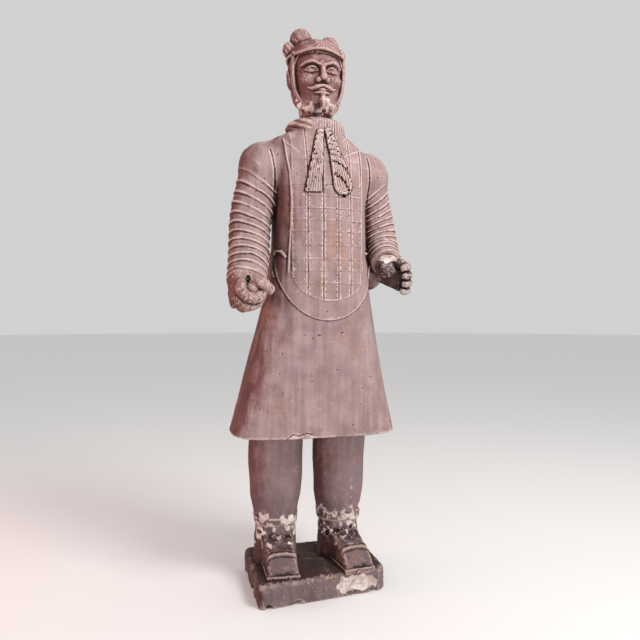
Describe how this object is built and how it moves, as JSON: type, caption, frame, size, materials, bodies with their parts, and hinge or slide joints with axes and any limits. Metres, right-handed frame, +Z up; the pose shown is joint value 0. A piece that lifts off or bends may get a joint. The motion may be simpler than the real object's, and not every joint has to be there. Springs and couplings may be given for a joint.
{
  "type": "terracotta warrior statue",
  "caption": "Life-size terracotta warrior in plate armour and a long robe, standing on a low slab, hands shaped to hold weapons.",
  "frame": {"origin": "on the slab's underside, near its middle", "axes": "+Z up, the figure faces -Y, its right hand is on the -X side"},
  "size_m": [0.5893, 0.4181, 1.85],
  "materials": {
    "body_clay": "matt, dusty grey-mauve fired clay with pale worn edges",
    "head_clay": "matt, dark purple-brown fired clay with pale plaster at the chin",
    "plinth_clay": "matt, dark brown fired clay with pale chipped edges",
    "hand_clay": "matt, worn fired clay, dark in the hollows, with pale mortar at the wrist"
  },
  "bodies": {
    "root": {"plinth": "plinth_clay", "body": "body_clay", "head": "head_clay", "right_hand": "hand_clay", "left_hand": "hand_clay"}
  },
  "joints": []
}
